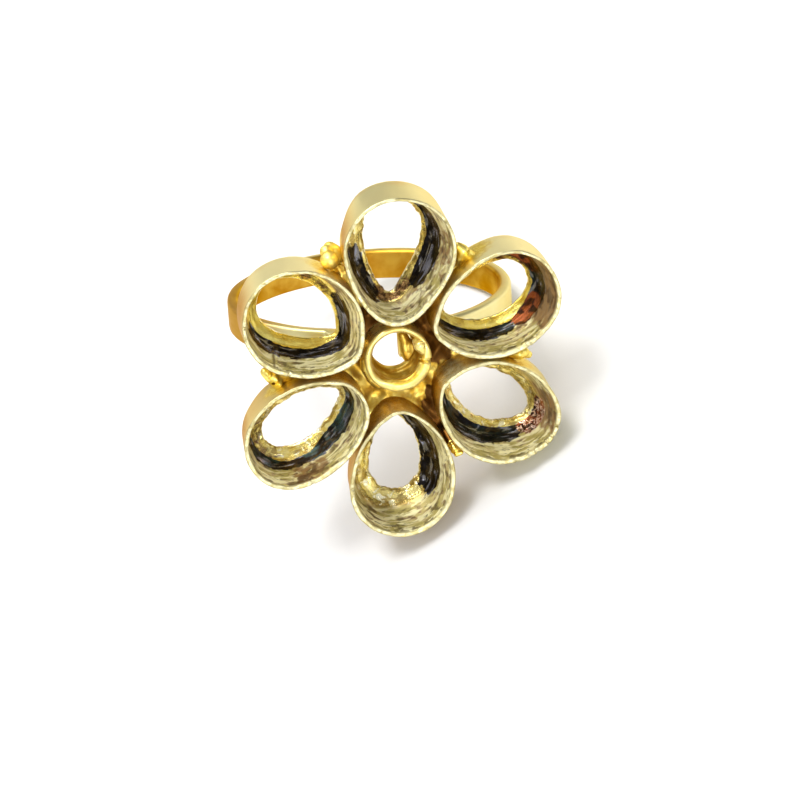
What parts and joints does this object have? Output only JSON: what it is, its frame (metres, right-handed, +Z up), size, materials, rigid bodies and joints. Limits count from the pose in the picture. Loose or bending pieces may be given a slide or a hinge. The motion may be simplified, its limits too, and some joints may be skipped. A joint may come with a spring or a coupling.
{
  "type": "bezel cup ring mounting",
  "caption": "Empty flower ring mounting: open pear-shaped bezel cups round a small round cup, soldered on a plain flat band, in gold-coloured metal.",
  "frame": {"origin": "on the floor, under the middle of the bounding box", "axes": "+Z up as the ring lies on its side; the flower's face looks towards -Y and 20 degrees up"},
  "size_m": [0.0236, 0.0262, 0.0205],
  "materials": {
    "pale_gold": "satin, scratched, with dark fire scale on the ledges",
    "bright_gold": "bright polished",
    "band_gold": "satin, deeper gold inside"
  },
  "bodies": {
    "root": {"band": "band_gold", "round_cup": "bright_gold", "cup_top": "pale_gold", "cup_upper_right": "pale_gold", "cup_lower_right": "pale_gold", "cup_bottom": "pale_gold", "cup_lower_left": "pale_gold", "cup_upper_left": "pale_gold", "granule_pair": "bright_gold", "bead_upper_right": "bright_gold", "bead_left": "bright_gold", "bead_right": "bright_gold", "bead_lower_right": "bright_gold"}
  },
  "joints": []
}
